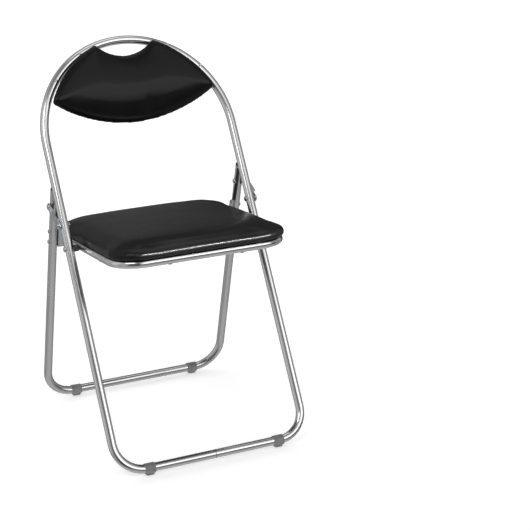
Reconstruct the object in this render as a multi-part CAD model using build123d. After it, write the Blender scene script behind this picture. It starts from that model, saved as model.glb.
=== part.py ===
from build123d import *
import math
import os

# Folding chair, open. Millimetres, +Z up, +X to the sitter's left, -Y is the front.
# The origin lies on the floor in the middle of the four feet.

# ---- Driving sizes ---------------------------------------------------------------------------
TUBE_OD = 18.0            # main frame and rear legs
SEAT_TUBE_OD = 17.0
TUBE_WALL = 1.2
FRAME_HALF = 209.0        # centreline of the side tubes from the middle plane
MAIN_LENGTH = 899.0       # bottom bar to top of hoop, along the frame
MAIN_CORNER = 61.0
MAIN_LEAN = 30.0          # degrees back from upright
REAR_LEAN = 15.8          # degrees forward from upright
REAR_LENGTH = 531.0
REAR_CORNER = 62.0
FOOT_SPREAD = 452.0       # front bar to rear bar
BAR_HEIGHT = 13.0         # bar centres above the floor
FOOT_WIDTH = 22.0
FRONT_FOOT_X = 143.0
REAR_FOOT_X = 141.0

SEAT_PIVOT_S = 467.0      # seat pivot, up the main frame from the bottom bar
LINK_PIVOT_S = 517.5      # upper link pivot, up the main frame
LEG_LINK_S = 492.0        # link pivot, up the rear leg
SEAT_TILT = 5.3           # degrees, front edge up
SEAT_HALF = 180.5
SEAT_FRONT = 217.5        # front bar ahead of the seat pivot
SEAT_REAR = 152.5         # rear bar behind the seat pivot
SEAT_CORNER = 59.0
SEAT_REAR_PIVOT = 80.5    # rear pivot behind the seat pivot

# Seat pad, heights above the middle of the seat tubes
PAD_HALF = 188.5
PAD_FRONT = 231.5
PAD_REAR = 163.0
PAD_CORNER = 61.0
LINING = 0.8
SEAT_BOARD = 6.0
SEAT_FOAM = 20.0
COVER = 1.2

# Back pad: a board bent about the sitter's back, its lower edge set back between the tubes
BACK_TIP = (180.5, 777.5)
NOTCH_CORNER = (64.5, 888.5)
NOTCH_BOTTOM = 861.0
BACK_BOTTOM = 719.0
BACK_BEND = 785.0         # bend radius of the board's rear face
BACK_SET = 9.3            # degrees that the board tips rearwards below the frame's plane
BACK_OFFSET = 6.9         # board's rear face ahead of the frame's plane at the notch corners
BACK_BOARD = 4.5
BACK_FOAM = 20.0

RIVET = 6.4
SEAT_RIVET = 8.0
HEAD = 12.0
RUNNING_GAP = 0.05        # radial clearance round a pivot
SIDE_GAP = 0.3            # between parts that turn against each other
LINK_THICK = 2.0
LINK_WIDTH = 17.0
WASHER = 1.2
BRACKET = 2.4

tube_r = TUBE_OD / 2
seat_tube_r = SEAT_TUBE_OD / 2
lean = math.radians(MAIN_LEAN)
rear_lean = math.radians(REAR_LEAN)
tilt = math.radians(SEAT_TILT)
half_spread = FOOT_SPREAD / 2
outer_x = FRAME_HALF + tube_r
inner_x = FRAME_HALF - tube_r
seat_outer_x = SEAT_HALF + seat_tube_r
seat_inner_x = SEAT_HALF - seat_tube_r
THROUGH = 2.0             # how far a drill runs past the wall it cuts
CUTTER = 1000.0           # side of a cutting block larger than the chair

# ---- Working planes: x across, y along the frame, z to the front or up -----------------------
MAIN = Plane(origin=(0, -half_spread, BAR_HEIGHT), x_dir=(1, 0, 0),
             z_dir=(0, -math.cos(lean), math.sin(lean)))
REAR = Plane(origin=(0, half_spread, BAR_HEIGHT), x_dir=(1, 0, 0),
             z_dir=(0, -math.cos(rear_lean), -math.sin(rear_lean)))
seat_pivot = MAIN.from_local_coords((0, SEAT_PIVOT_S, 0))
SEAT = Plane(origin=seat_pivot, x_dir=(1, 0, 0), z_dir=(0, math.sin(tilt), math.cos(tilt)))

# Pivots: the rear seat pivot lies on the seat plane, and the leg's link pivot is where the
# link from the main frame has the same length with the chair open and folded flat.
rear_pivot = SEAT.from_local_coords((0, SEAT_REAR_PIVOT, 0))
rear_pivot_in_leg = REAR.to_local_coords(rear_pivot)
folded_shift_s = SEAT_PIVOT_S - SEAT_REAR_PIVOT - rear_pivot_in_leg.Y
folded_shift_n = rear_pivot_in_leg.Z
link_pivot = MAIN.from_local_coords((0, LINK_PIVOT_S, 0))


def link_mismatch(offset):
    """Open link length less folded link length, for a leg pivot this far ahead of the leg."""
    spot = REAR.from_local_coords((0, LEG_LINK_S, offset))
    open_length = (spot - link_pivot).length
    along = LEG_LINK_S + folded_shift_s - LINK_PIVOT_S
    folded_length = math.hypot(along, offset - folded_shift_n)
    return open_length - folded_length


HALVINGS = 60
low, high = -tube_r, tube_r
for _ in range(HALVINGS):
    middle = (low + high) / 2
    if link_mismatch(middle) * link_mismatch(low) > 0:
        low = middle
    else:
        high = middle
leg_pivot = REAR.from_local_coords((0, LEG_LINK_S, low))
link_length = (leg_pivot - link_pivot).length


# ---- Helpers ---------------------------------------------------------------------------------
def save(shape, name):
    export_step(shape, f"parts/{name}.step")


def group(solids):
    return Compound(children=list(solids))


def rod(path, radius):
    """Solid round bar along a path."""
    start = Plane(origin=path @ 0, z_dir=path % 0)
    return sweep(start * Circle(radius), path=path)


def pipe(path, outer_r):
    """Round tube along a path, with the standard wall."""
    return rod(path, outer_r) - rod(path, outer_r - TUBE_WALL)


def cross_cylinder(centre, x_from, x_to, radius):
    """Cylinder along X through a point, between two distances from the middle plane."""
    place = Plane(origin=(x_from, centre.Y, centre.Z), z_dir=(1 if x_to > x_from else -1, 0, 0))
    return extrude(place * Circle(radius), amount=abs(x_to - x_from))


def side_hole(centre, radius, wall_in, wall_out):
    """Drill through the walls that stand between two distances from the middle plane."""
    return both_sides(lambda: cross_cylinder(centre, wall_in - THROUGH, wall_out + THROUGH, radius))


DOME_SHARE = 0.85         # of a rivet head's height is rounded


def dome_head(centre, x_seat, x_top, radius):
    """Rivet head: a low rounded button standing on x_seat, with its top at x_top."""
    rise = abs(x_top - x_seat)
    head = Cylinder(radius, rise, align=(Align.CENTER, Align.CENTER, Align.MIN))
    head = fillet(head.edges().group_by(Axis.Z)[-1], DOME_SHARE * rise)
    side = 1 if x_top > x_seat else -1
    return Plane(origin=(x_seat, centre.Y, centre.Z), z_dir=(side, 0, 0)) * head


def both_sides(make):
    """The piece made at +X and its mirror image at -X."""
    right = make()
    return group([right, mirror(right, about=Plane.YZ)])


os.makedirs("parts", exist_ok=True)


# ---- Main frame: one tube, from the front bar up both sides and over the hoop ----------------
JOINT_GAP = 0.4
PLUG_HALF = 25.0
hoop_s = MAIN_LENGTH - FRAME_HALF
bar_end = FRAME_HALF - MAIN_CORNER
main_path = MAIN * Wire([
    Line((JOINT_GAP / 2, 0), (bar_end, 0)),
    CenterArc((bar_end, MAIN_CORNER), MAIN_CORNER, -90, 90),
    Line((FRAME_HALF, MAIN_CORNER), (FRAME_HALF, hoop_s)),
    CenterArc((0, hoop_s), FRAME_HALF, 0, 180),
    Line((-FRAME_HALF, hoop_s), (-FRAME_HALF, MAIN_CORNER)),
    CenterArc((-bar_end, MAIN_CORNER), MAIN_CORNER, 180, 90),
    Line((-bar_end, 0), (-JOINT_GAP / 2, 0)),
])

back_screw_spots = []
for angle in (39.0, 62.0):
    x = FRAME_HALF * math.cos(math.radians(angle))
    s = hoop_s + FRAME_HALF * math.sin(math.radians(angle))
    back_screw_spots += [(x, s), (-x, s)]
SCREW_R = 2.0
SCREW_HEAD_R = 4.5
SCREW_HEAD_H = 2.2
SCREW_HEAD_ROUND = 1.0
SCREW_SINK = 1.3          # of a head's height that sits in a dimple in the tube
BACK_SCREW_TIP = 14.7     # ahead of the frame's plane, inside the board


def pan_screw(length):
    """Pan-head screw standing on its head's underside, with its shank up."""
    shank = Cylinder(SCREW_R, length, align=(Align.CENTER, Align.CENTER, Align.MIN))
    head = Cylinder(SCREW_HEAD_R, SCREW_HEAD_H, align=(Align.CENTER, Align.CENTER, Align.MAX))
    return shank + fillet(head.edges().group_by(Axis.Z)[0], SCREW_HEAD_ROUND)


def back_screw(spot):
    """Screw from behind the hoop into the back board."""
    return MAIN * Pos(spot[0], spot[1], SCREW_SINK - tube_r) * pan_screw(tube_r - SCREW_SINK + BACK_SCREW_TIP)


back_screws = group([back_screw(spot) for spot in back_screw_spots])
seat_rivet_holes = side_hole(seat_pivot, SEAT_RIVET / 2, inner_x, outer_x)
link_rivet_holes = side_hole(link_pivot, RIVET / 2, inner_x, outer_x)
main_tube = pipe(main_path, tube_r) - seat_rivet_holes - link_rivet_holes - back_screws
save(main_tube, "main_frame_tube")
save(cross_cylinder(MAIN.origin, -PLUG_HALF, PLUG_HALF, tube_r - TUBE_WALL), "main_frame_joint_plug")
save(back_screws, "back_pad_screws")

# ---- Feet: plastic sleeves on both bars, with a flat tread below ------------------------------
SLEEVE_R = 11.0
TREAD_LENGTH = 17.0
TREAD_WIDTH = 14.0
SLEEVE_ROUND, TREAD_CORNER, TREAD_ROUND = 1.2, 3.0, 1.0


def foot(x, y, bar):
    """Sleeve with a tread, hollowed by the bar it is pressed on."""
    sleeve = cross_cylinder(Vector(0, y, BAR_HEIGHT), x - FOOT_WIDTH / 2, x + FOOT_WIDTH / 2, SLEEVE_R)
    sleeve = fillet(sleeve.edges().filter_by(GeomType.CIRCLE), SLEEVE_ROUND)
    tread = Pos(x, y, BAR_HEIGHT / 2) * Box(TREAD_LENGTH, TREAD_WIDTH, BAR_HEIGHT)
    tread = fillet(tread.edges().filter_by(Axis.Z), TREAD_CORNER)
    tread = fillet(tread.edges().group_by(Axis.Z)[0], TREAD_ROUND)
    return sleeve + tread - bar


front_bar = rod(main_path, tube_r)
save(foot(FRONT_FOOT_X, -half_spread, front_bar), "front_foot_left")
save(foot(-FRONT_FOOT_X, -half_spread, front_bar), "front_foot_right")

# ---- Seat frame: one closed tube under the seat pad -------------------------------------------
seat_bar = SEAT_HALF - SEAT_CORNER
seat_path = SEAT * Wire([
    Line((JOINT_GAP / 2, SEAT_REAR), (seat_bar, SEAT_REAR)),
    CenterArc((seat_bar, SEAT_REAR - SEAT_CORNER), SEAT_CORNER, 90, -90),
    Line((SEAT_HALF, SEAT_REAR - SEAT_CORNER), (SEAT_HALF, SEAT_CORNER - SEAT_FRONT)),
    CenterArc((seat_bar, SEAT_CORNER - SEAT_FRONT), SEAT_CORNER, 0, -90),
    Line((seat_bar, -SEAT_FRONT), (-seat_bar, -SEAT_FRONT)),
    CenterArc((-seat_bar, SEAT_CORNER - SEAT_FRONT), SEAT_CORNER, -90, -90),
    Line((-SEAT_HALF, SEAT_CORNER - SEAT_FRONT), (-SEAT_HALF, SEAT_REAR - SEAT_CORNER)),
    CenterArc((-seat_bar, SEAT_REAR - SEAT_CORNER), SEAT_CORNER, 180, -90),
    Line((-seat_bar, SEAT_REAR), (-JOINT_GAP / 2, SEAT_REAR)),
])

SCREW_BAR_X = 77.0
SCREW_SIDE_Y = -110.0
SEAT_SCREW_TIP = 14.5
board_low = seat_tube_r + LINING
board_high = board_low + SEAT_BOARD
foam_high = board_high + SEAT_FOAM
seat_screw_spots = [(side * SCREW_BAR_X, y) for side in (1, -1) for y in (-SEAT_FRONT, SEAT_REAR)]
seat_screw_spots += [(SEAT_HALF, SCREW_SIDE_Y), (-SEAT_HALF, SCREW_SIDE_Y)]


def seat_screw(spot):
    """Screw from under the seat tube into the seat board."""
    length = seat_tube_r - SCREW_SINK + SEAT_SCREW_TIP
    return SEAT * Pos(spot[0], spot[1], SCREW_SINK - seat_tube_r) * pan_screw(length)


seat_screws = group([seat_screw(spot) for spot in seat_screw_spots])
seat_pin_r = SEAT_RIVET / 2 + RUNNING_GAP
rear_pin_r = RIVET / 2 + RUNNING_GAP
seat_tube = pipe(seat_path, seat_tube_r) - seat_screws
seat_tube -= side_hole(seat_pivot, seat_pin_r, seat_inner_x, seat_outer_x)
seat_tube -= side_hole(rear_pivot, rear_pin_r, seat_inner_x, seat_outer_x)
save(seat_tube, "seat_frame_tube")
plug_spot = SEAT.from_local_coords((0, SEAT_REAR, 0))
save(cross_cylinder(plug_spot, -PLUG_HALF, PLUG_HALF, seat_tube_r - TUBE_WALL), "seat_frame_joint_plug")
save(seat_screws, "seat_pad_screws")

# ---- Seat pad: lining, board, foam and cover ---------------------------------------------------
LINING_INSET = 5.0
STAPLE_INSET = 25.0
STAPLE_CROWN = 10.0
STAPLE_WIRE = 0.7
STAPLE_LEG = 5.0
STAPLE_X = (-98, -59, -20, 20, 59, 98)
STAPLE_Y = (-160, -115, -70, -25, 20, 65)
STAPLE_TURN = 4           # degrees that hand-driven staples stand off the edge's direction


def pad_slab(inset, low_z, high_z):
    """Slab of the seat pad's outline, less an inset, between two heights."""
    outline = RectangleRounded(2 * (PAD_HALF - inset), PAD_FRONT + PAD_REAR - 2 * inset,
                               PAD_CORNER - inset)
    place = SEAT * Pos(0, (PAD_REAR - PAD_FRONT) / 2, low_z)
    return extrude(place * outline, amount=high_z - low_z)


def staple(x, y, turn):
    """Staple with its crown under the lining and its legs in the board."""
    crown = Box(STAPLE_CROWN, STAPLE_WIRE, STAPLE_WIRE, align=(Align.CENTER, Align.CENTER, Align.MAX))
    leg = Box(STAPLE_WIRE, STAPLE_WIRE, STAPLE_LEG, align=(Align.CENTER, Align.CENTER, Align.MIN))
    reach = (STAPLE_CROWN - STAPLE_WIRE) / 2
    wire = crown + Pos(reach, 0, 0) * leg + Pos(-reach, 0, 0) * leg
    return SEAT * Pos(x, y, seat_tube_r) * Rot(0, 0, turn) * wire


staple_list = []
staple_x = PAD_HALF - STAPLE_INSET
for x in STAPLE_X:
    staple_list.append(staple(x, PAD_REAR - STAPLE_INSET, STAPLE_TURN))
    staple_list.append(staple(x, STAPLE_INSET - PAD_FRONT, -STAPLE_TURN))
for y in STAPLE_Y:
    staple_list.append(staple(staple_x, y, 90 - STAPLE_TURN))
    staple_list.append(staple(-staple_x, y, 90 + STAPLE_TURN))
staples = group(staple_list)

lining = pad_slab(LINING_INSET, seat_tube_r, board_low) - seat_screws - staples
board = pad_slab(COVER, board_low, board_high) - seat_screws - staples
foam = pad_slab(COVER, board_high, foam_high)
cover = pad_slab(0, board_low, foam_high + COVER) - pad_slab(COVER, board_low, foam_high)
save(staples, "seat_staples")
save(lining, "seat_lining")
save(board, "seat_board")
save(foam, "seat_foam")
save(cover, "seat_cover")

# ---- Back pad: bent board, foam and cover ------------------------------------------------------
tip_x, tip_s = BACK_TIP
corner_x, corner_s = NOTCH_CORNER
TIP_DROP = 8.0            # blunt end of each tip
BACK_TOP_BULGE = 14.0     # of the upper edges beyond a straight line
NOTCH_ROUND = 7.0
PRISM_BEHIND, PRISM_DEPTH = 60.0, 140.0


def arc_middle(start, end, bulge):
    """Point on an arc between two points, standing off the middle of the chord."""
    across = end[0] - start[0]
    up = end[1] - start[1]
    length = math.hypot(across, up)
    return ((start[0] + end[0]) / 2 - up / length * bulge,
            (start[1] + end[1]) / 2 + across / length * bulge)


def back_outline(inset):
    """Lens outline of the back pad with the hand notch at the top, less an inset."""
    right_tip, right_low = (tip_x, tip_s), (tip_x, tip_s - TIP_DROP)
    left_tip, left_low = (-tip_x, tip_s), (-tip_x, tip_s - TIP_DROP)
    right_corner, left_corner = (corner_x, corner_s), (-corner_x, corner_s)
    edges = [
        ThreePointArc(right_low, (0, BACK_BOTTOM), left_low),
        Line(left_low, left_tip),
        ThreePointArc(left_tip, arc_middle(left_tip, left_corner, BACK_TOP_BULGE), left_corner),
        ThreePointArc(left_corner, (0, NOTCH_BOTTOM), right_corner),
        ThreePointArc(right_corner, arc_middle(right_corner, right_tip, BACK_TOP_BULGE), right_tip),
        Line(right_tip, right_low),
    ]
    face = make_face(Wire(edges))
    face = fillet(face.vertices().group_by(Axis.Y)[-1], NOTCH_ROUND)
    if inset:
        face = offset(face, amount=-inset, kind=Kind.ARC)
    return face


# The bend's axis, as seen from the board: ahead of it by the bend radius, and tipped with it
bend_plane = MAIN * Pos(0, corner_s, BACK_OFFSET) * Rot(BACK_SET, 0, 0)


def bent_slab(near, far):
    """Curved slab between two depths ahead of the board's rear face."""
    place = bend_plane * Pos(0, 0, BACK_BEND) * Rot(90, 0, 0)
    return place * (Cylinder(BACK_BEND - near, CUTTER) - Cylinder(BACK_BEND - far, CUTTER))


def back_layer(inset, near, far):
    """The back pad's outline cut through one layer of the bent pad."""
    prism = extrude(MAIN * Pos(0, 0, -PRISM_BEHIND) * back_outline(inset), amount=PRISM_DEPTH)
    ahead = bend_plane * Pos(0, 0, BACK_BEND / 2 - PRISM_BEHIND) * Box(CUTTER, CUTTER, BACK_BEND)
    return prism & bent_slab(near, far) & ahead


back_board = back_layer(COVER, 0, BACK_BOARD) - back_screws
back_foam = back_layer(COVER, BACK_BOARD, BACK_BOARD + BACK_FOAM)
back_cover = (back_layer(0, 0, BACK_BOARD + BACK_FOAM + COVER)
              - back_layer(COVER, -THROUGH, BACK_BOARD + BACK_FOAM))
save(back_board, "back_board")
save(back_foam, "back_foam")
save(back_cover, "back_cover")

# ---- Rear legs: a U of tube, cut at the top to lie against the main frame ----------------------
rear_bar = FRAME_HALF - REAR_CORNER
REST_GAP = 0.5
rear_path = REAR * Wire([
    Line((FRAME_HALF, REAR_LENGTH), (FRAME_HALF, REAR_CORNER)),
    CenterArc((rear_bar, REAR_CORNER), REAR_CORNER, 0, -90),
    Line((rear_bar, 0), (-rear_bar, 0)),
    CenterArc((-rear_bar, REAR_CORNER), REAR_CORNER, -90, -90),
    Line((-FRAME_HALF, REAR_CORNER), (-FRAME_HALF, REAR_LENGTH)),
])
CAP_DEPTH = 16.0
CAP_TOP = 2.5
frame_side = (MAIN * Pos(0, MAIN_LENGTH / 2, CUTTER / 2 - tube_r - REST_GAP)
              * Box(CUTTER, CUTTER, CUTTER))
BRACKET_RIVETS = (406.0, 431.5)
BRACKET_RIVET_R = 2.5
bracket_rivet_spots = [REAR.from_local_coords((0, s, 0)) for s in BRACKET_RIVETS]

rear_tube = pipe(rear_path, tube_r) - frame_side
rear_tube -= side_hole(leg_pivot, RIVET / 2, inner_x, outer_x)
for spot in bracket_rivet_spots:
    rear_tube -= side_hole(spot, BRACKET_RIVET_R, inner_x, outer_x)
save(rear_tube, "rear_leg_tube")
rear_rod = rod(rear_path, tube_r)
save(foot(REAR_FOOT_X, half_spread, rear_rod), "rear_foot_left")
save(foot(-REAR_FOOT_X, half_spread, rear_rod), "rear_foot_right")


def leg_cap():
    """Plastic plug in the open top of a rear leg."""
    stem = Cylinder(tube_r - TUBE_WALL, CAP_DEPTH, align=(Align.CENTER, Align.CENTER, Align.MAX))
    top = Cylinder(tube_r, CAP_TOP, align=(Align.CENTER, Align.CENTER, Align.MIN))
    cap = REAR * Pos(FRAME_HALF, REAR_LENGTH, 0) * Rot(-90, 0, 0) * (stem + top)
    return cap - frame_side


save(both_sides(leg_cap), "rear_leg_caps")


# ---- Brackets: plates that carry the seat's rear pivot on the legs -----------------------------
NOSE_GAP = 0.4            # to the seat tube beside it
NOSE_R = 11.5
BRACKET_LOW, BRACKET_HIGH = 395.0, 443.0
TAB_WIDTH, TAB_CORNER, TAB_AHEAD = 18.0, 5.0, 2.0
TAB_BACK, JOGGLE_START, JOGGLE_END = -7.0, 8.0, 14.5
JOGGLE_SKEW = 1.0         # keeps the sloping part as thick as the flat ones
BRACKET_REACH = 45.0
END_SPARE = 10.0
BRACKET_RIVET_HEAD, BRACKET_RIVET_RISE, BRACKET_RIVET_TAIL = 4.5, 2.4, 2.0
nose_in = seat_outer_x + NOSE_GAP
nose_out = nose_in + BRACKET
pin_s = rear_pivot_in_leg.Y
pin_n = rear_pivot_in_leg.Z


def bracket():
    """Plate with a joggle: flat on the leg's inner side, then beside the seat tube."""
    section = make_face(Polyline(
        (TAB_BACK, inner_x), (JOGGLE_START, inner_x), (JOGGLE_END, nose_out), (BRACKET_REACH, nose_out),
        (BRACKET_REACH, nose_in), (JOGGLE_END - JOGGLE_SKEW, nose_in),
        (JOGGLE_START - JOGGLE_SKEW, inner_x - BRACKET), (TAB_BACK, inner_x - BRACKET), close=True))
    across = Plane(origin=REAR.from_local_coords((0, BRACKET_LOW - END_SPARE, 0)),
                   x_dir=REAR.z_dir, z_dir=REAR.y_dir)
    strip = extrude(across * section, amount=BRACKET_HIGH - BRACKET_LOW + 2 * END_SPARE)
    side = Plane(origin=REAR.origin, x_dir=REAR.y_dir, z_dir=(1, 0, 0))
    tab = (Pos((BRACKET_LOW + BRACKET_HIGH) / 2, TAB_AHEAD)
           * RectangleRounded(BRACKET_HIGH - BRACKET_LOW, TAB_WIDTH, TAB_CORNER))
    nose = Pos(pin_s, pin_n) * Circle(NOSE_R)
    shape = make_hull((tab + nose).edges())
    plate = strip & extrude(side * shape, amount=outer_x)
    for spot in bracket_rivet_spots:
        plate -= cross_cylinder(spot, nose_in, outer_x, BRACKET_RIVET_R)
    return plate - cross_cylinder(rear_pivot, seat_inner_x, outer_x, RIVET / 2)


plate = bracket()
save(plate, "rear_bracket_left")
save(mirror(plate, about=Plane.YZ), "rear_bracket_right")


def bracket_rivet(spot):
    """Rivet through the leg and its bracket, headed on both sides."""
    shank = cross_cylinder(spot, inner_x - BRACKET, outer_x, BRACKET_RIVET_R)
    inside = inner_x - BRACKET
    return (shank + dome_head(spot, outer_x, outer_x + BRACKET_RIVET_RISE, BRACKET_RIVET_HEAD)
            + dome_head(spot, inside, inside - BRACKET_RIVET_TAIL, BRACKET_RIVET_HEAD))


rivets = [bracket_rivet(spot) for spot in bracket_rivet_spots]
save(group(rivets + [mirror(rivet, about=Plane.YZ) for rivet in rivets]), "bracket_rivets")


# ---- Pivots ------------------------------------------------------------------------------------
HEAD_RISE = 3.0
SPACER_R, SPACER_ROUND = 7.0, 0.8
WASHER_R = 6.0


def seat_rivet():
    """Long rivet through the main tube, the spacer and the seat tube."""
    shank = cross_cylinder(seat_pivot, seat_inner_x - SIDE_GAP, outer_x, SEAT_RIVET / 2)
    return (shank + dome_head(seat_pivot, outer_x, outer_x + HEAD_RISE, HEAD / 2)
            + dome_head(seat_pivot, seat_inner_x - SIDE_GAP, seat_inner_x - SIDE_GAP - HEAD_RISE, HEAD / 2))


def seat_spacer():
    """Nylon spacer between the seat tube and the main tube."""
    outside = cross_cylinder(seat_pivot, seat_outer_x + SIDE_GAP, inner_x, SPACER_R)
    outside = fillet(outside.edges().filter_by(GeomType.CIRCLE), SPACER_ROUND)
    return outside - cross_cylinder(seat_pivot, seat_inner_x, outer_x, SEAT_RIVET / 2)


def rear_seat_rivet():
    """Rivet fixed in the bracket, on which the seat tube turns."""
    shank = cross_cylinder(rear_pivot, seat_inner_x - SIDE_GAP, nose_out, RIVET / 2)
    return (shank + dome_head(rear_pivot, nose_out, nose_out + HEAD_RISE, HEAD / 2)
            + dome_head(rear_pivot, seat_inner_x - SIDE_GAP, seat_inner_x - SIDE_GAP - HEAD_RISE, HEAD / 2))


link_in = outer_x + WASHER + SIDE_GAP
link_out = link_in + LINK_THICK


def washer(centre):
    """Washer that holds the link clear of a tube."""
    ring = cross_cylinder(centre, outer_x, outer_x + WASHER, WASHER_R)
    return ring - cross_cylinder(centre, inner_x, link_in, RIVET / 2)


def link_upper_rivet():
    """Rivet fixed in the main tube, on which the link turns."""
    shank = cross_cylinder(link_pivot, inner_x, link_out + SIDE_GAP, RIVET / 2)
    return (shank + dome_head(link_pivot, link_out + SIDE_GAP, link_out + SIDE_GAP + HEAD_RISE, HEAD / 2)
            + dome_head(link_pivot, inner_x, inner_x - HEAD_RISE, HEAD / 2))


def leg_rivet():
    """The leg's half of the link rivet: inner head and shank, ending at the leg's outer side."""
    shank = cross_cylinder(leg_pivot, inner_x, outer_x + WASHER, RIVET / 2)
    return shank + dome_head(leg_pivot, inner_x, inner_x - HEAD_RISE, HEAD / 2)


def link_rivet_head():
    """The link's half of that rivet: outer head and the shank inside the plate."""
    shank = cross_cylinder(leg_pivot, link_in, link_out, RIVET / 2)
    return shank + dome_head(leg_pivot, link_out, link_out + HEAD_RISE, HEAD / 2)


save(both_sides(seat_rivet), "seat_pivot_rivets")
save(both_sides(seat_spacer), "seat_pivot_spacers")
save(both_sides(rear_seat_rivet), "rear_seat_rivets")
save(both_sides(link_upper_rivet), "link_upper_rivets")
save(both_sides(lambda: washer(link_pivot)), "link_upper_washers")
save(both_sides(leg_rivet), "rear_link_rivets")
save(both_sides(lambda: washer(leg_pivot)), "rear_link_washers")

# ---- Links: pressed strips with a stiffening flange --------------------------------------------
FLANGE_RISE = 6.0
FLANGE_SHARE = 0.62       # of the link's length
FLANGE_ROUND = 4.0


def link_plate():
    """Link with its two pivot holes and the flange along its upper edge."""
    along = leg_pivot - link_pivot
    place = Plane(origin=(link_in, link_pivot.Y, link_pivot.Z), x_dir=(0, along.Y, along.Z),
                  z_dir=(1, 0, 0))
    strip = extrude(place * Pos(link_length / 2, 0) * SlotCenterToCenter(link_length, LINK_WIDTH),
                    amount=LINK_THICK)
    flange = Box(FLANGE_SHARE * link_length, LINK_THICK, FLANGE_RISE + LINK_THICK,
                 align=(Align.CENTER, Align.MAX, Align.MIN))
    flange = fillet(flange.edges().filter_by(Axis.Y).group_by(Axis.Z)[-1], FLANGE_ROUND)
    strip += place * Pos(link_length / 2, LINK_WIDTH / 2, 0) * flange
    strip -= cross_cylinder(link_pivot, link_in - THROUGH, link_out + THROUGH, RIVET / 2 + RUNNING_GAP)
    return strip - cross_cylinder(leg_pivot, link_in - THROUGH, link_out + THROUGH, RIVET / 2)


left_link = link_plate()
left_head = link_rivet_head()
save(left_link, "link_plate_left")
save(mirror(left_link, about=Plane.YZ), "link_plate_right")
save(left_head, "link_rivet_head_left")
save(mirror(left_head, about=Plane.YZ), "link_rivet_head_right")
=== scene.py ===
import math

import bmesh
import bpy
import numpy as np
from mathutils import Matrix, Vector, noise


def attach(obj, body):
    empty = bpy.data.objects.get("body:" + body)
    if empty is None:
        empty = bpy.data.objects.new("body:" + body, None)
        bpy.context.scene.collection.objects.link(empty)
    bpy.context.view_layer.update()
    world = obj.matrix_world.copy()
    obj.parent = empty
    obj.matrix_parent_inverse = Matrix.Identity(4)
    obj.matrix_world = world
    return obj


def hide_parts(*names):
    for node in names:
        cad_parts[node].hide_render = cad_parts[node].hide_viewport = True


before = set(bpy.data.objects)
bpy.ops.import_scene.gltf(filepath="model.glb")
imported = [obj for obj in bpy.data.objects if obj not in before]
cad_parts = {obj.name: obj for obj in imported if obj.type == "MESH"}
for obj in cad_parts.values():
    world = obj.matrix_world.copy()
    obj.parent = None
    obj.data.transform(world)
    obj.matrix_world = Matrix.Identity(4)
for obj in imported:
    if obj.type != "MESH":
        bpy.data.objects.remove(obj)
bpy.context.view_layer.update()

# The frame is in metres; lengths inside the pads' own planes are in millimetres and pass through MM
MM = 0.001
LEAN = math.radians(30)
SEAT_TILT = math.radians(5.3)
MAIN_ORIGIN = Vector((0, -226, 13)) * MM
SEAT_ORIGIN = Vector((0, 7.5, 417.434)) * MM


def seat_point(x, y, z):
    """Point of the seat's own plane, in millimetres, as a point of the frame."""
    return SEAT_ORIGIN + MM * Vector((x, y * math.cos(SEAT_TILT) + z * math.sin(SEAT_TILT),
                                      z * math.cos(SEAT_TILT) - y * math.sin(SEAT_TILT)))


def main_point(x, s, n):
    """Point s along the main frame and n behind it, in millimetres, as a point of the frame."""
    return MAIN_ORIGIN + MM * Vector((x, s * math.sin(LEAN) + n * math.cos(LEAN),
                                      s * math.cos(LEAN) - n * math.sin(LEAN)))


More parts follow.
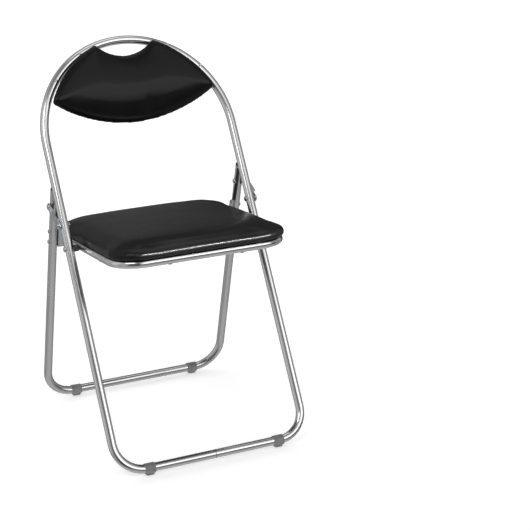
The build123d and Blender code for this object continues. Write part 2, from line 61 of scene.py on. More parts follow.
# ---- Materials ---------------------------------------------------------------------------------
class Paint:
    """Builds one node material round a Principled shader."""

    def __init__(self, name, colour, rough, metal=0.0):
        self.material = bpy.data.materials.new(name)
        self.material.use_nodes = True
        self.nodes = self.material.node_tree.nodes
        self.links = self.material.node_tree.links
        self.shader = self.nodes["Principled BSDF"]
        self.shader.inputs["Base Color"].default_value = (*colour, 1)
        self.shader.inputs["Roughness"].default_value = rough
        self.shader.inputs["Metallic"].default_value = metal
        self.place = self.nodes.new("ShaderNodeTexCoord").outputs["Object"]
        self.height = None

    def add(self, kind, **sockets):
        node = self.nodes.new(kind)
        for key, value in sockets.items():
            node.inputs[key.replace("_", " ")].default_value = value
        return node

    def stretched(self, scale, turn=(0, 0, 0)):
        node = self.add("ShaderNodeMapping")
        node.inputs["Scale"].default_value = scale
        node.inputs["Rotation"].default_value = turn
        self.links.new(self.place, node.inputs["Vector"])
        return node.outputs["Vector"]

    def noise(self, scale, detail=3.0, rough=0.55, vector=None):
        node = self.add("ShaderNodeTexNoise", Scale=scale, Detail=detail, Roughness=rough)
        self.links.new(vector or self.place, node.inputs["Vector"])
        return node.outputs["Fac"]

    def cells(self, scale, feature="F1", vector=None):
        node = self.add("ShaderNodeTexVoronoi", Scale=scale)
        node.feature = feature
        self.links.new(vector or self.place, node.inputs["Vector"])
        return node.outputs["Distance"]

    def span(self, value, low, high, out_low, out_high):
        node = self.add("ShaderNodeMapRange")
        limits = {"From Min": low, "From Max": high, "To Min": out_low, "To Max": out_high}
        for key, number in limits.items():
            node.inputs[key].default_value = number
        self.links.new(value, node.inputs["Value"])
        return node.outputs["Result"]

    def tint(self, value, low, high, colours):
        ramp = self.nodes.new("ShaderNodeValToRGB")
        for element, position, colour in zip(ramp.color_ramp.elements, (low, high), colours):
            element.position = position
            element.color = (*colour, 1)
        self.links.new(value, ramp.inputs["Fac"])
        return ramp.outputs["Color"]

    def math(self, operation, *values):
        node = self.nodes.new("ShaderNodeMath")
        node.operation = operation
        for index, value in enumerate(values):
            self.links.new(value, node.inputs[index])
        return node.outputs[0]

    def mix(self, factor, a, b):
        node = self.nodes.new("ShaderNodeMix")
        node.data_type = "RGBA"
        for socket, value in (("Factor", factor), ("A", a), ("B", b)):
            target = next(i for i in node.inputs if i.name == socket and i.enabled)
            if isinstance(value, bpy.types.NodeSocket):
                self.links.new(value, target)
            else:
                target.default_value = value if socket == "Factor" else (*value, 1)
        return next(o for o in node.outputs if o.enabled)

    def colour(self, value):
        self.links.new(value, self.shader.inputs["Base Color"])

    def rough(self, value):
        self.links.new(value, self.shader.inputs["Roughness"])

    def bump(self, value, strength, distance):
        node = self.add("ShaderNodeBump", Strength=strength, Distance=distance)
        self.links.new(value, node.inputs["Height"])
        if self.height is not None:
            self.links.new(self.height, node.inputs["Normal"])
        self.height = node.outputs["Normal"]
        self.links.new(self.height, self.shader.inputs["Normal"])


def metal(name, colour, rough, streak_turn=(0, 0, 0), grain=(500, 500, 12), variation=0.06):
    """Drawn or plated metal: faint lengthwise streaks and handling smudges."""
    paint = Paint(name, colour, rough, 1.0)
    streaks = paint.noise(1.0, 2.0, 0.5, paint.stretched(grain, streak_turn))
    smudge = paint.noise(9.0, 4.0)
    low = tuple(c * (1 - variation) for c in colour)
    high = tuple(min(1, c * (1 + variation * 0.6)) for c in colour)
    paint.colour(paint.tint(smudge, 0.35, 0.65, (low, high)))
    soft = paint.span(smudge, 0.3, 0.7, rough * 0.85, rough * 1.2)
    fine = paint.span(streaks, 0.3, 0.7, -0.02, 0.02)
    paint.rough(paint.math("ADD", soft, fine))
    paint.bump(streaks, 0.012, 0.0001)
    return paint


def plastic(name, colour, rough, grain=2600.0):
    """Moulded plastic: fine spark-eroded grain and slight scuffing, lighter and darker in random
    patches.
    """
    paint = Paint(name, colour, rough)
    scuff = paint.noise(60.0, 5.0, 0.65)
    low = tuple(c * 0.8 for c in colour)
    high = tuple(min(1, c * 1.25) for c in colour)
    paint.colour(paint.tint(scuff, 0.35, 0.7, (low, high)))
    paint.rough(paint.span(scuff, 0.3, 0.7, rough * 0.85, min(1, rough * 1.2)))
    paint.bump(paint.noise(grain, 2.0), 0.12, 0.0002)
    paint.bump(scuff, 0.05, 0.0004)
    return paint


def vinyl(name):
    """Black coated upholstery: fine pebbled grain, soft sheen and faint stretch marks."""
    paint = Paint(name, (0.003, 0.003, 0.0033), 0.40)
    paint.shader.inputs["IOR"].default_value = 1.45
    paint.shader.inputs["Specular IOR Level"].default_value = 0.16
    paint.shader.inputs["Coat Weight"].default_value = 0.26
    paint.shader.inputs["Coat Roughness"].default_value = 0.13
    grain = paint.cells(620.0)
    creases = paint.cells(520.0, "DISTANCE_TO_EDGE")
    wear = paint.noise(14.0, 4.0, 0.6)
    paint.colour(paint.tint(wear, 0.3, 0.7, ((0.0022, 0.0022, 0.0024), (0.0042, 0.0042, 0.0044))))
    paint.rough(paint.span(wear, 0.3, 0.7, 0.37, 0.46))
    paint.bump(paint.noise(34.0, 3.0, 0.5), 0.05, 0.001)
    paint.bump(grain, 0.10, 0.0003)
    paint.bump(paint.span(creases, 0.0, 0.12, 0.0, 1.0), 0.10, 0.0002)
    return paint


def lining_cloth(name):
    """Black non-woven lining: tangled fibres and a grid of point bonds."""
    paint = Paint(name, (0.016, 0.016, 0.017), 0.85)
    paint.shader.inputs["Sheen Weight"].default_value = 0.25
    paint.shader.inputs["Sheen Roughness"].default_value = 0.5
    fibres = paint.noise(1.0, 5.0, 0.7, paint.stretched((260, 1500, 260), (0, 0, 0.6)))
    bonds = paint.cells(520.0)
    paint.colour(paint.tint(fibres, 0.35, 0.65, ((0.010, 0.010, 0.011), (0.028, 0.028, 0.029))))
    paint.bump(fibres, 0.35, 0.0005)
    paint.bump(paint.span(bonds, 0.0, 0.3, 0.0, 1.0), 0.25, 0.0003)
    return paint


def plywood(name):
    """Pale plywood: long grain, growth bands and small pores."""
    paint = Paint(name, (0.52, 0.36, 0.21), 0.62)
    bands = paint.noise(1.0, 5.0, 0.6, paint.stretched((6, 90, 160)))
    pores = paint.noise(1.0, 3.0, 0.6, paint.stretched((60, 1400, 1400)))
    paint.colour(paint.mix(paint.span(pores, 0.55, 0.7, 0, 0.5),
                           paint.tint(bands, 0.3, 0.7, ((0.44, 0.29, 0.16), (0.60, 0.43, 0.27))),
                           (0.22, 0.13, 0.07)))
    paint.rough(paint.span(bands, 0.3, 0.7, 0.55, 0.72))
    paint.bump(pores, 0.2, 0.0003)
    return paint


def zinc(name):
    """Galvanised pressed sheet: spangle cells, satin face and press marks."""
    paint = metal(name, (0.62, 0.63, 0.64), 0.34, grain=(500, 80, 500), variation=0.10)
    spangle = paint.add("ShaderNodeTexVoronoi", Scale=190.0)
    paint.links.new(paint.place, spangle.inputs["Vector"])
    grey = paint.nodes.new("ShaderNodeRGBToBW")
    paint.links.new(spangle.outputs["Color"], grey.inputs["Color"])
    spread_of_grey = ((0.62, 0.63, 0.65), (0.80, 0.81, 0.82))
    paint.colour(paint.tint(grey.outputs["Val"], 0.1, 0.9, spread_of_grey))
    return paint


def painted_joint_shade(paint, side):
    """Painted shade: a dark line in the butt joint's gap at x = 0, on the bar at the front (side
    -1) or rear (side 1).
    """
    axes = paint.nodes.new("ShaderNodeSeparateXYZ")
    paint.links.new(paint.place, axes.inputs["Vector"])
    across = paint.math("ABSOLUTE", axes.outputs["X"])
    near_joint = paint.span(across, 0.0007, 0.0016, 0.45, 0.0)
    on_bar = paint.span(axes.outputs["Y"], side * 0.14, side * 0.16, 0.0, 1.0)
    unshaded_colour = paint.shader.inputs["Base Color"].links[0].from_socket
    # painted shade: base colour darkened towards grey 0.10 in a band about 1.5 mm wide at the joint
    paint.colour(paint.mix(paint.math("MULTIPLY", near_joint, on_bar), unshaded_colour, (0.10, 0.10, 0.10)))


REAR_LEG_LEAN = -0.27
tube_metal = metal("satin_steel_tube", (0.80, 0.80, 0.805), 0.17, (LEAN, 0, 0))
seat_tube_metal = metal("satin_steel_seat_tube", (0.80, 0.80, 0.805), 0.18, grain=(60, 700, 900))
leg_metal = metal("satin_steel_leg_tube", (0.74, 0.74, 0.745), 0.24, (REAR_LEG_LEAN, 0, 0))
plug_metal = metal("plain_steel_plug", (0.46, 0.46, 0.47), 0.38)
rivet_metal = metal("bright_rivet_steel", (0.66, 0.66, 0.67), 0.26, grain=(300, 300, 300))
screw_metal = metal("plated_screw_steel", (0.70, 0.69, 0.66), 0.24, grain=(300, 300, 300))
zinc_metal = zinc("galvanised_sheet")
foot_plastic = plastic("moulded_foot_plastic", (0.21, 0.21, 0.215), 0.40)
cap_plastic = plastic("moulded_cap_plastic", (0.018, 0.018, 0.019), 0.45)
spacer_plastic = plastic("moulded_spacer_nylon", (0.045, 0.045, 0.047), 0.40, 1800.0)
cover_vinyl = vinyl("grained_black_vinyl")
under_cloth = lining_cloth("non_woven_lining")
board_wood = plywood("birch_plywood")
foam_paint = plastic("cut_foam", (0.55, 0.50, 0.36), 0.9, 700.0)

# painted shade along the butt joints of the front bar and of the seat frame's rear bar
painted_joint_shade(tube_metal, -1)
painted_joint_shade(seat_tube_metal, 1)

FINISHES = {
    tube_metal: ["main_frame_tube"],
    seat_tube_metal: ["seat_frame_tube"],
    leg_metal: ["rear_leg_tube"],
    plug_metal: ["main_frame_joint_plug", "seat_frame_joint_plug"],
    rivet_metal: ["seat_pivot_rivets", "link_upper_rivets", "link_upper_washers",
                  "rear_seat_rivets", "rear_link_rivets", "rear_link_washers", "bracket_rivets",
                  "link_rivet_head_left", "link_rivet_head_right", "seat_staples"],
    screw_metal: ["back_pad_screws", "seat_pad_screws"],
    zinc_metal: ["link_plate_left", "link_plate_right", "rear_bracket_left", "rear_bracket_right"],
    foot_plastic: ["front_foot_left", "front_foot_right", "rear_foot_left", "rear_foot_right"],
    cap_plastic: ["rear_leg_caps"],
    spacer_plastic: ["seat_pivot_spacers"],
    board_wood: ["back_board", "seat_board"],
    foam_paint: ["back_foam", "seat_foam"],
    cover_vinyl: ["back_cover", "seat_cover"],
    under_cloth: ["seat_lining"],
}
for finish, names in FINISHES.items():
    for name in names:
        for material_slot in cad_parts[name].material_slots:
            material_slot.material = finish.material


# ---- Mesh helpers ------------------------------------------------------------------------------
def shade_smooth(mesh):
    mesh.polygons.foreach_set("use_smooth", [True] * len(mesh.polygons))


def smooth_object(name, verts, faces, paint):
    mesh = bpy.data.meshes.new(name)
    mesh.from_pydata([tuple(v) for v in verts], [], faces)
    mesh.validate()
    build = bmesh.new()
    build.from_mesh(mesh)
    bmesh.ops.recalc_face_normals(build, faces=build.faces)
    build.to_mesh(mesh)
    build.free()
    shade_smooth(mesh)
    mesh.materials.append(paint.material)
    piece = bpy.data.objects.new(name, mesh)
    bpy.context.scene.collection.objects.link(piece)
    return piece


def coordinates(piece):
    flat = np.empty(len(piece.data.vertices) * 3)
    piece.data.vertices.foreach_get("co", flat)
    return flat.reshape(-1, 3)


def set_coordinates(piece, points):
    piece.data.vertices.foreach_set("co", np.asarray(points, float).ravel())
    piece.data.update()


def keep_evaluated(piece):
    """Puts the mesh that the modifiers make in the place of the piece's own, and drops them."""
    graph = bpy.context.evaluated_depsgraph_get()
    graph.update()
    mesh = bpy.data.meshes.new_from_object(piece.evaluated_get(graph))
    piece.modifiers.clear()
    old, piece.data = piece.data, mesh
    bpy.data.meshes.remove(old)


def apply_modifier(piece, kind, **settings):
    modifier = piece.modifiers.new(kind.lower(), kind)
    for key, value in settings.items():
        setattr(modifier, key, value)
    keep_evaluated(piece)


CLOTH_FRAMES = 20
CLOTH_PRESSURE = 4.0
SPREAD_ROUNDS = 60
WRINKLE_SHARE = 0.12      # of the simulated creases that a tightly upholstered pad keeps
SMOOTH_PASSES = 10
SMOOTH_IN, SMOOTH_OUT = 0.5, -0.53      # a pair that smooths without shrinking


def spread(mesh, values, rounds):
    """Each vertex's value averaged with its neighbours', over and over."""
    pairs = np.empty(len(mesh.edges) * 2, np.int32)
    mesh.edges.foreach_get("vertices", pairs)
    a, b = pairs[0::2], pairs[1::2]
    count = len(mesh.vertices)
    valence = np.bincount(a, minlength=count) + np.bincount(b, minlength=count)
    values = values.copy()
    for _ in range(rounds):
        total = np.stack([np.bincount(a, values[b, k], count) + np.bincount(b, values[a, k], count)
                          for k in range(3)], axis=1)
        values = 0.5 * values + 0.5 * total / valence[:, None]
    return values


def blow_up(piece, fixed):
    """Short cloth simulation under inner pressure; fixed holds each vertex's share of pinning."""
    pins = piece.vertex_groups.new(name="held")
    for index in np.nonzero(fixed > 0)[0]:
        pins.add([int(index)], float(fixed[index]), "REPLACE")
    cloth = piece.modifiers.new("cloth", "CLOTH")
    settings = cloth.settings
    settings.quality = 6
    settings.mass = 0.3
    settings.tension_stiffness = settings.compression_stiffness = 18
    settings.shear_stiffness = 8
    settings.bending_stiffness = 6.0
    settings.use_pressure = True
    settings.uniform_pressure_force = CLOTH_PRESSURE
    settings.vertex_group_mass = "held"
    settings.effector_weights.gravity = 0
    cloth.collision_settings.use_collision = False
    cloth.point_cache.frame_start, cloth.point_cache.frame_end = 1, CLOTH_FRAMES
    scene = bpy.context.scene
    for step in range(1, CLOTH_FRAMES + 1):
        scene.frame_set(step)
    keep_evaluated(piece)
    scene.frame_set(1)
    piece.vertex_groups.clear()


def inflate(piece, voxel, cap, held):
    """Padded form: remesh, blow up with the held part fixed, cap how far it moved, and smooth."""
    apply_modifier(piece, "REMESH", mode="VOXEL", voxel_size=voxel, use_smooth_shade=True)
    start = coordinates(piece)
    blow_up(piece, held(start))
    moved = coordinates(piece) - start
    swell = spread(piece.data, moved, SPREAD_ROUNDS)
    moved = swell + WRINKLE_SHARE * (moved - swell)
    length = np.linalg.norm(moved, axis=1, keepdims=True)
    limit = cap * np.tanh(length / cap)
    set_coordinates(piece, start + moved * limit / np.maximum(length, 1e-9))
    for _ in range(SMOOTH_PASSES):
        apply_modifier(piece, "SMOOTH", factor=SMOOTH_IN, iterations=1)
        apply_modifier(piece, "SMOOTH", factor=SMOOTH_OUT, iterations=1)
    apply_modifier(piece, "SUBSURF", levels=1, render_levels=1)
    shade_smooth(piece.data)


def ring_shell(name, rings, paint, close_first=True):
    """Skin over a stack of closed rings with the same number of points each, closed at the last."""
    count = len(rings[0])
    verts = [p for ring in rings for p in ring]
    faces = []
    for r in range(len(rings) - 1):
        for i in range(count):
            j = (i + 1) % count
            faces.append((r * count + i, r * count + j, (r + 1) * count + j, (r + 1) * count + i))
    if close_first:
        faces.append(tuple(range(count))[::-1])
    faces.append(tuple((len(rings) - 1) * count + i for i in range(count)))
    return smooth_object(name, verts, faces, paint)


SEAT_POINTS, BACK_POINTS = 280, 420      # points in each ring of a pad
CORNER_STEPS = 24


def rounded_rectangle(half_x, low_y, high_y, corner, count=SEAT_POINTS):
    """Evenly spaced outline points of a rounded rectangle, anticlockwise."""
    corner = min(corner, half_x - 1, (high_y - low_y) / 2 - 1)
    inner_x, inner_low, inner_high = half_x - corner, low_y + corner, high_y - corner
    corners = ((inner_x, inner_high, 0), (-inner_x, inner_high, 90),
               (-inner_x, inner_low, 180), (inner_x, inner_low, 270))
    path = []
    for cx, cy, start in corners:
        for k in range(CORNER_STEPS + 1):
            a = math.radians(start + 90 * k / CORNER_STEPS)
            path.append((cx + corner * math.cos(a), cy + corner * math.sin(a)))
    return even_points(path, count)


def even_points(path, count):
    """Points at equal steps along the closed path."""
    path = np.array(path + path[:1], float)
    steps = np.hypot(*np.diff(path, axis=0).T)
    along = np.concatenate(([0], np.cumsum(steps)))
    wanted = np.linspace(0, along[-1], count, endpoint=False)
    return [(float(np.interp(w, along, path[:, 0])), float(np.interp(w, along, path[:, 1])))
            for w in wanted]


# ---- Seat cushion ------------------------------------------------------------------------------
PAD_HALF, PAD_FRONT, PAD_REAR, PAD_CORNER = 188.5, 231.5, 163, 61
CROWN_RISE, CROWN_MARGIN, CROWN_POWER = 4.5, 8, 2.6
SEAT_UNDERSIDE = 8.6
SEAT_HELD_BELOW, SEAT_HELD_FADE = 15.0, 5.0


def seat_crown(x, y):
    """Extra height of the padded top above its rim, in millimetres."""
    mid, half_y = (PAD_REAR - PAD_FRONT) / 2, (PAD_FRONT + PAD_REAR) / 2
    across = 1 - (abs(x) / (PAD_HALF - CROWN_MARGIN)) ** CROWN_POWER
    along = 1 - (abs(y - mid) / (half_y - CROWN_MARGIN)) ** CROWN_POWER
    return CROWN_RISE * max(0.0, across) * max(0.0, along)


def seat_ring(inset, z):
    """Ring of the pad at height z, inset from the rim; the padded top also has its crown."""
    corner = max(6.0, PAD_CORNER - 0.8 * inset)
    ring = rounded_rectangle(PAD_HALF - inset, inset - PAD_FRONT, PAD_REAR - inset, corner)
    return [seat_point(x, y, z + (seat_crown(x, y) if z > 26 else 0.0)) for x, y in ring]


seat_profile = [(26, 8.7), (14, 8.6), (7, 8.7), (3.0, 9.2), (0.6, 11.2), (-0.8, 14.5), (-1.4, 18.0),
                (-0.8, 21.6), (1.6, 24.8), (5.5, 27.4), (11, 29.6), (18, 31.3), (27, 32.7),
                (38, 33.7), (52, 34.5), (72, 35.1), (100, 35.5), (130, 35.6), (165, 35.6)]
seat_rings = [seat_ring(inset, z) for inset, z in seat_profile]
seat_cushion = ring_shell("seat_cushion", seat_rings, cover_vinyl)


def seat_held(points):
    """1 where the cover is drawn round the board, 0 on the padding."""
    local = (points - np.array(SEAT_ORIGIN)) / MM
    z = local[:, 1] * math.sin(SEAT_TILT) + local[:, 2] * math.cos(SEAT_TILT)
    return np.clip((SEAT_HELD_BELOW - z) / SEAT_HELD_FADE, 0, 1)


inflate(seat_cushion, voxel=0.0046, cap=0.005, held=seat_held)
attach(seat_cushion, "seat")
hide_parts("seat_cover", "seat_foam", "seat_board")

# ---- Back cushion ------------------------------------------------------------------------------
TIP, CORNER = (180.5, 777.5), (64.5, 888.5)
TIP_DROP, NOTCH_BOTTOM, BACK_BOTTOM, TOP_BULGE = 8.0, 861.0, 719.0, 14.0
BACK_TILT = math.tan(math.radians(9.3))
BACK_BEND, BACK_OFFSET = 785.0, 6.9
CROWN_MID, CROWN_HALF = 786, 96
RING_CENTRE = 792
BACK_HELD_BELOW, BACK_HELD_FADE = 8.0, 4.0


def arc_through(a, b, c, count):
    """Points of the arc from a through b to c."""
    (ax, ay), (bx, by), (cx, cy) = a, b, c
    d = 2 * (ax * (by - cy) + bx * (cy - ay) + cx * (ay - by))
    ux = ((ax * ax + ay * ay) * (by - cy) + (bx * bx + by * by) * (cy - ay)
          + (cx * cx + cy * cy) * (ay - by)) / d
    uy = ((ax * ax + ay * ay) * (cx - bx) + (bx * bx + by * by) * (ax - cx)
          + (cx * cx + cy * cy) * (bx - ax)) / d
    radius = math.hypot(ax - ux, ay - uy)
    start, middle, end = (math.atan2(y - uy, x - ux) for x, y in (a, b, c))
    turn = (end - start) % (2 * math.pi)
    if (middle - start) % (2 * math.pi) > turn:
        turn -= 2 * math.pi
    angles = [start + turn * k / count for k in range(count)]
    return [(ux + radius * math.cos(angle), uy + radius * math.sin(angle)) for angle in angles]


def bulged(a, b, bulge):
    """Middle point of the arc from a to b that stands out by bulge, away from the pad's centre."""
    mx, my = (a[0] + b[0]) / 2, (a[1] + b[1]) / 2
    dx, dy = b[0] - a[0], b[1] - a[1]
    length = math.hypot(dx, dy)
    nx, ny = dy / length, -dx / length
    if nx * mx + ny * (my - RING_CENTRE) < 0:
        nx, ny = -nx, -ny
    return mx + nx * bulge, my + ny * bulge


def back_outline():
    """Lens outline of the back pad with the hand notch at the top, evenly spaced."""
    low = (TIP[0], TIP[1] - TIP_DROP)
    left = (-TIP[0], TIP[1])
    left_low = (-low[0], low[1])
    left_corner = (-CORNER[0], CORNER[1])
    path = arc_through(low, (0, BACK_BOTTOM), left_low, 60)
    path += [left_low]
    path += arc_through(left, bulged(left, left_corner, TOP_BULGE), left_corner, 30)
    path += arc_through(left_corner, (0, NOTCH_BOTTOM), CORNER, 30)
    path += arc_through(CORNER, bulged(CORNER, TIP, TOP_BULGE), TIP, 30)
    path += [TIP]
    return even_points(path, BACK_POINTS)


OUTLINE = np.array(back_outline())


def rim_distance(x, s):
    """Distance from a point to the back pad's outline, in millimetres."""
    a, b = OUTLINE, np.roll(OUTLINE, -1, axis=0)
    edge = b - a
    along = (x - a[:, 0]) * edge[:, 0] + (s - a[:, 1]) * edge[:, 1]
    t = np.clip(along / (edge ** 2).sum(1), 0, 1)
    return float(np.hypot(x - a[:, 0] - t * edge[:, 0], s - a[:, 1] - t * edge[:, 1]).min())


def back_rear(x, s):
    """How far the pad's rear face is behind the main frame's plane, in millimetres."""
    return -BACK_OFFSET + BACK_TILT * (CORNER[1] - s) - x * x / (2 * BACK_BEND)


def back_front(x, s):
    """Depth of the padded front ahead of the rear face, in millimetres."""
    d = rim_distance(x, s)
    round_rim = math.sqrt(max(0.0, 1 - (1 - min(1.0, d / 12.0)) ** 2))
    middle = (s - CROWN_MID) / CROWN_HALF
    crown = 1 - math.exp(-d / 26.0)
    return 6.0 + 8.0 * round_rim + 5.0 * crown + 8.5 * (1 - min(1.0, abs(middle)) ** 2) * crown


def back_ring(shrink, depth):
    """Ring of the pad: the outline shrunk about its centre; depth None follows the padded front."""
    ring = []
    for x, s in OUTLINE:
        px, ps = x * shrink, RING_CENTRE + (s - RING_CENTRE) * shrink
        d = back_front(px, ps) if depth is None else depth
        ring.append(main_point(px, ps, back_rear(px, ps) - d))
    return ring


REAR_RINGS = ((0.05, 0.3), (0.4, 0.3), (0.8, 0.3), (0.95, 0.4), (0.985, 1.2), (0.997, 3.0))
FRONT_RINGS = (1.0, 0.994, 0.98, 0.96, 0.935, 0.90, 0.86, 0.80, 0.73, 0.65, 0.56, 0.46, 0.36, 0.26,
               0.16, 0.06)
back_rings = [back_ring(shrink, depth) for shrink, depth in REAR_RINGS]
back_rings += [back_ring(shrink, None) for shrink in FRONT_RINGS]
back_cushion = ring_shell("back_cushion", back_rings, cover_vinyl)


def back_held(points):
    """1 where the cover is drawn round the board, 0 on the padding."""
    local = (points - np.array(MAIN_ORIGIN)) / MM
    s = local[:, 1] * math.sin(LEAN) + local[:, 2] * math.cos(LEAN)
    n = local[:, 1] * math.cos(LEAN) - local[:, 2] * math.sin(LEAN)
    depth = -BACK_OFFSET + BACK_TILT * (CORNER[1] - s) - local[:, 0] ** 2 / (2 * BACK_BEND) - n
    return np.clip((BACK_HELD_BELOW - depth) / BACK_HELD_FADE, 0, 1)


inflate(back_cushion, voxel=0.004, cap=0.004, held=back_held)
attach(back_cushion, "main_frame")
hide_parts("back_cover", "back_foam", "back_board")


# ---- Seat lining: cloth stretched over the underside, with puckers at the corners --------------
LINING_MID, LINING_HALF_X, LINING_HALF_Y, LINING_CORNER = -34, 172, 181, 50
LINING_RINGS = 34
HEM_INSET, HEM_CORNER = 0.6, 49.6
PUCKERS_ROUND = 46
PAD_REACH = 197


def lining_outline(out):
    """Outline of the lining, shrunk to the share out of its size."""
    return rounded_rectangle(LINING_HALF_X * out, LINING_MID - LINING_HALF_Y * out,
                             LINING_MID + LINING_HALF_Y * out, max(1.0, LINING_CORNER * out))


def lining_height(x, y, out):
    """Sag and puckers of the lining below the board, in millimetres; out is 1 at its rim."""
    corner_x, corner_y = abs(x) / PAD_HALF, abs(y - LINING_MID) / PAD_REACH
    near = max(0.0, corner_x * corner_y - 0.45) * 2.2
    around = math.atan2(y - LINING_MID, x)
    jitter = noise.noise(Vector((x, y, 0)) * 0.02)
    pucker = math.sin(around * PUCKERS_ROUND + 3 * jitter) * near * 0.9
    waves = noise.noise(Vector((x * 0.018, y * 0.018, 4.0))) * 0.5
    return (pucker + waves) * min(1.0, (1 - out) * 9 + 0.15)


hem = rounded_rectangle(LINING_HALF_X - HEM_INSET, LINING_MID - LINING_HALF_Y + HEM_INSET,
                        LINING_MID + LINING_HALF_Y - HEM_INSET, HEM_CORNER)
lining_rings = [[seat_point(x, y, SEAT_UNDERSIDE + 0.2) for x, y in hem]]
for k in range(LINING_RINGS):
    out = 1 - k / (LINING_RINGS - 0.4)
    sag = SEAT_UNDERSIDE - 0.35 - 0.3 * (1 - out)
    lining_rings.append([seat_point(x, y, sag + 0.6 * lining_height(x, y, out))
                         for x, y in lining_outline(out)])
seat_under_lining = ring_shell("seat_under_lining", lining_rings, under_cloth, close_first=False)
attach(seat_under_lining, "seat")
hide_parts("seat_lining")

# ---- Stage, lights and camera ------------------------------------------------------------------
STAGE_HALF, COVE_START, COVE_RADIUS, WALL_TOP = 16.0, 2.2, 1.4, 6.0
stage_mesh = bpy.data.meshes.new("stage_floor")
build = bmesh.new()
floor_profile = [(-STAGE_HALF, 0.0), (COVE_START, 0.0)]
for degrees in range(6, 91, 6):
    bend = math.radians(degrees)
    floor_profile.append((COVE_START + COVE_RADIUS * math.sin(bend),
                          COVE_RADIUS - COVE_RADIUS * math.cos(bend)))
floor_profile.append((COVE_START + COVE_RADIUS, WALL_TOP))
rows = [[build.verts.new((x, y, z - 0.0005)) for x in (-STAGE_HALF, STAGE_HALF)]
        for y, z in floor_profile]
for low, high in zip(rows, rows[1:]):
    build.faces.new((low[0], low[1], high[1], high[0]))
build.to_mesh(stage_mesh)
build.free()
shade_smooth(stage_mesh)
floor_paint = Paint("pale_floor", (0.95, 0.95, 0.95), 0.9)
clouds = floor_paint.noise(1.3, 2.0)
floor_whites = ((0.945, 0.945, 0.945), (0.955, 0.955, 0.955))
floor_paint.colour(floor_paint.tint(clouds, 0.3, 0.7, floor_whites))
floor_paint.shader.inputs["Specular IOR Level"].default_value = 0.0
floor_paint.shader.inputs["Emission Color"].default_value = (1, 1, 1, 1)
floor_paint.shader.inputs["Emission Strength"].default_value = 0.45
stage_mesh.materials.append(floor_paint.material)
stage_floor = bpy.data.objects.new("stage_floor", stage_mesh)
bpy.context.scene.collection.objects.link(stage_floor)
stage_floor.visible_glossy = False

world = bpy.data.worlds.new("studio")
bpy.context.scene.world = world
world.use_nodes = True
tree = world.node_tree
background = tree.nodes["Background"]


def world_node(kind, *inputs, operation=None):
    node = tree.nodes.new(kind)
    if operation:
        node.operation = operation
    for index, value in enumerate(inputs):
        if isinstance(value, bpy.types.NodeSocket):
            tree.links.new(value, node.inputs[index])
        elif value is not None:
            node.inputs[index].default_value = value
    return node


direction = tree.nodes.new("ShaderNodeTexCoord").outputs["Generated"]
parts = world_node("ShaderNodeSeparateXYZ", direction).outputs
height = parts["Z"]
azimuth = world_node("ShaderNodeMath", parts["Y"], parts["X"], operation="ARCTAN2").outputs[0]


def window(value, low, high, soft):
    """1 between low and high, falling smoothly to 0 over the soft margin."""
    rise = world_node("ShaderNodeMapRange", value, low - soft, low, 0.0, 1.0)
    fall = world_node("ShaderNodeMapRange", value, high, high + soft, 1.0, 0.0)
    for slope in (rise, fall):
        slope.interpolation_type = "SMOOTHSTEP"
    return times(rise.outputs[0], fall.outputs[0])


def times(a, b):
    return world_node("ShaderNodeMath", a, b, operation="MULTIPLY").outputs[0]


def plus(a, b):
    return world_node("ShaderNodeMath", a, b, operation="ADD").outputs[0]


level = world_node("ShaderNodeMapRange", height, -0.95, 0.10, 0.26, 0.42).outputs[0]
PATCHES = (
    # azimuth from, to, edge; sine of height from, to, edge; strength, below 0 for a dark card
    (-1.60, -0.70, 0.20, 0.26, 0.44, 0.20, 1.25),
    (-1.50, -0.80, 0.12, 0.52, 0.76, 0.10, 0.40),
    (2.75, 3.10, 0.10, -0.30, 0.70, 0.10, 0.25),
    (-4.00, 4.00, 0.10, -1.30, -0.74, 0.12, 0.22),
    (-1.90, -0.40, 0.20, -0.20, 0.04, 0.12, -0.33),
    (-2.45, -1.85, 0.10, -0.40, 0.75, 0.10, -0.29),
    (0.55, 1.10, 0.15, -0.34, 0.70, 0.10, -0.36),
    (1.25, 1.80, 0.15, -0.34, 0.60, 0.10, -0.20),
    (-0.55, 0.20, 0.12, -0.30, 0.70, 0.10, -0.14),
    (-4.00, 4.00, 0.10, 0.88, 2.00, 0.10, -0.20),
)
for left, right, side_edge, bottom, top, edge, strength in PATCHES:
    patch = times(window(azimuth, left, right, side_edge), window(height, bottom, top, edge))
    level = plus(level, times(patch, strength))
level = world_node("ShaderNodeMath", level, 0.02, operation="MAXIMUM").outputs[0]
tree.links.new(level, background.inputs["Strength"])
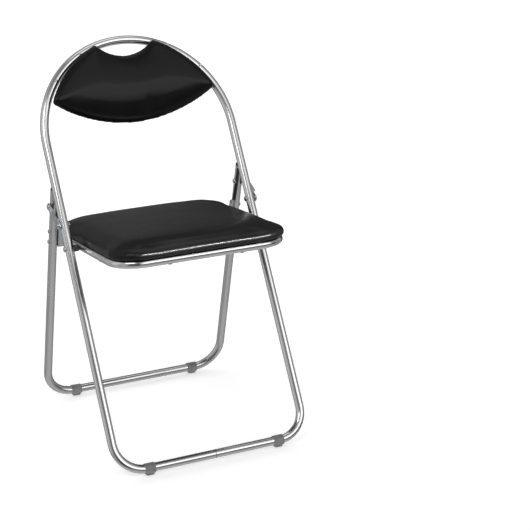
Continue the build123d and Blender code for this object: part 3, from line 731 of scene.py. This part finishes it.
background.inputs["Color"].default_value = (1, 1, 1, 1)


def soft_light(name, place, aim, size, power):
    lamp = bpy.data.lights.new(name, "AREA")
    lamp.shape, lamp.size, lamp.energy = "DISK", size, power
    holder = bpy.data.objects.new(name, lamp)
    holder.location = place
    holder.rotation_euler = (Vector(aim) - Vector(place)).to_track_quat("-Z", "Y").to_euler()
    bpy.context.scene.collection.objects.link(holder)
    return holder


soft_light("key_light", (-1.6, -1.2, 2.6), (0, 0, 0.4), 1.4, 14)
strip = soft_light("strip_light", (0.80, -2.20, 1.55), (0, -0.2, 0.44), 1.0, 180)
strip.data.shape, strip.data.size, strip.data.size_y = "RECTANGLE", 1.5, 0.04
seat_only = bpy.data.collections.new("strip_receivers")
seat_only.objects.link(seat_cushion)
strip.light_linking.receiver_collection = seat_only
soft_light("top_light", (0.4, 0.6, 3.0), (0, 0.1, 0.4), 1.8, 5)

# Camera: three-quarter view from the sitter's right, chair in the left of the picture
YAW, PITCH, ROLL = math.radians(25.50), math.radians(18.52), math.radians(0.82)
FOCAL_PIXELS, IMAGE_PIXELS, SENSOR = 1540, 530, 36.0
ahead = Vector((math.sin(YAW) * math.cos(PITCH), math.cos(YAW) * math.cos(PITCH), -math.sin(PITCH)))
right = Vector((math.cos(YAW), -math.sin(YAW), 0))
down = ahead.cross(right)
right_rolled = right * math.cos(ROLL) + down * math.sin(ROLL)
down_rolled = down * math.cos(ROLL) - right * math.sin(ROLL)
lens = bpy.data.cameras.new("camera")
lens.sensor_width = SENSOR
lens.lens = FOCAL_PIXELS / IMAGE_PIXELS * SENSOR
lens.clip_start, lens.clip_end = 0.05, 50
camera = bpy.data.objects.new("camera", lens)
turn = Matrix((right_rolled, -down_rolled, -ahead)).transposed().to_4x4()
camera.matrix_world = Matrix.Translation((-1.133, -2.852, 1.375)) @ turn
bpy.context.scene.collection.objects.link(camera)
bpy.context.scene.camera = camera
bpy.context.scene.view_settings.view_transform = "Standard"
bpy.context.scene.view_settings.look = "None"
